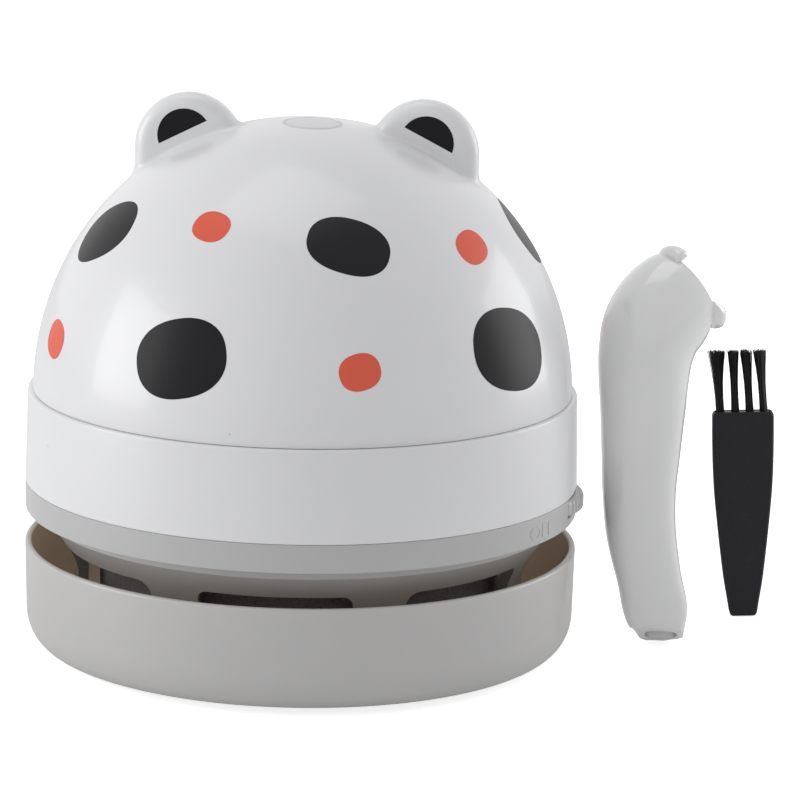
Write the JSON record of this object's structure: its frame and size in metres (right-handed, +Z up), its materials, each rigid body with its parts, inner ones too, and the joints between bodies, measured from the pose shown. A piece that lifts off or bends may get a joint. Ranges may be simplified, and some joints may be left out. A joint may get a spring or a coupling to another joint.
{
  "type": "desktop mini vacuum cleaner",
  "caption": "Small domed desk vacuum cleaner with ears, a lift-off upper unit, a slide switch, a bent suction nozzle and a cleaning brush.",
  "frame": {"origin": "on the desk, below the middle of the whole set's width and depth", "axes": "+Z up, the body's face towards -Y, its switch towards +X, nozzle and brush standing on the +X side"},
  "size_m": [0.1352, 0.1, 0.1013],
  "materials": {
    "white_plastic": "smooth satin white",
    "grey_plastic": "smooth light warm grey",
    "filter_cloth": "dark felted filter cloth",
    "rubber": "matt soft rubber",
    "black_plastic": "matt black, fine grain",
    "bristle": "black nylon strands",
    "steel": "plain bright steel",
    "brass": "plain brass and copper",
    "magnet": "dark sintered magnet",
    "board": "green lacquered board",
    "battery_sleeve": "blue shrink sleeve",
    "lamp_lens": "clear lens",
    "wire_red": "red insulation",
    "wire_black": "black insulation"
  },
  "bodies": {
    "lower_body": {"lower_bowl": "grey_plastic", "foot_1": "rubber", "foot_2": "rubber", "foot_3": "rubber", "foot_4": "rubber", "sweeper_strip_left": "black_plastic", "sweeper_strip_right": "black_plastic", "inlet_tube": "grey_plastic", "dust_basket": "grey_plastic", "filter_sleeve": "filter_cloth", "nozzle": "grey_plastic", "brush_handle": "black_plastic", "brush_bristles": "bristle"},
    "upper_unit": {"chassis": "grey_plastic", "seal_ring": "rubber", "middle_band": "white_plastic", "dome_shell": "white_plastic", "motor_can": "steel", "motor_end_cap": "black_plastic", "motor_magnet_1": "magnet", "motor_magnet_2": "magnet", "front_bush": "brass", "rear_bush": "brass", "motor_holder": "black_plastic", "battery": "battery_sleeve", "battery_holder": "black_plastic", "circuit_board": "board", "charge_chip": "black_plastic", "boost_coil": "black_plastic", "output_chip": "black_plastic", "usb_socket": "steel", "charge_lamp": "lamp_lens", "switch_body": "steel", "deck_screw_1": "steel", "deck_screw_2": "steel", "deck_screw_3": "steel", "deck_screw_4": "steel", "holder_screw_1": "steel", "holder_screw_2": "steel", "board_screw_1": "steel", "board_screw_2": "steel", "wire_battery_red": "wire_red", "wire_battery_black": "wire_black", "wire_motor_red": "wire_red", "wire_motor_black": "wire_black"},
    "fan": {"impeller": "grey_plastic", "motor_shaft": "steel", "motor_armature": "brass"},
    "switch_slider": {"switch_knob": "grey_plastic", "switch_lever": "black_plastic"}
  },
  "joints": [
    {"name": "upper_lift", "type": "slide", "parent": "lower_body", "child": "upper_unit", "axis": [0, 0, 1], "range_m": [0, 0.04]},
    {"name": "fan_spin", "type": "hinge", "parent": "upper_unit", "child": "fan", "pos_m": [-0.01763, 0, 0.03], "axis": [0, 0, 1], "continuous": true},
    {"name": "switch_slide", "type": "slide", "parent": "upper_unit", "child": "switch_slider", "axis": [0.0384, 0.9993, 0], "range_m": [0, 0.004]}
  ]
}
